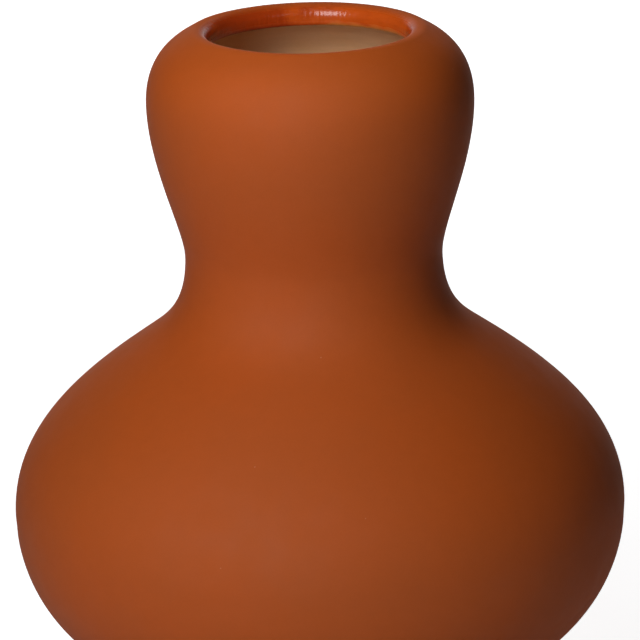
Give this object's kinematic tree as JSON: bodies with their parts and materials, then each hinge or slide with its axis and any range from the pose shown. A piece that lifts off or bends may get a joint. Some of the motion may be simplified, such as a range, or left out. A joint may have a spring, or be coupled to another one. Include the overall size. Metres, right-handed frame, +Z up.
{
  "type": "vase",
  "caption": "Gourd-shaped ceramic vase with a round belly, narrow waist, smaller head and rolled lip, glazed outside and lined inside, for cut or dried stems.",
  "frame": {"origin": "on the axis of the vase, in the plane of the surface that its felt pads stand on", "axes": "+Z up along the axis of revolution; +X to the right and +Y away from the viewer in the picture"},
  "size_m": [0.2, 0.2, 0.2235],
  "materials": {
    "bare_clay": "matte",
    "matt_glaze": "matte",
    "gloss_glaze": "gloss",
    "liner_glaze": "satin",
    "felt": "matte"
  },
  "bodies": {
    "root": {"clay_body": "bare_clay", "outer_glaze": "matt_glaze", "lip_glaze": "gloss_glaze", "liner_glaze": "liner_glaze", "foot_pads": "felt"}
  },
  "joints": []
}
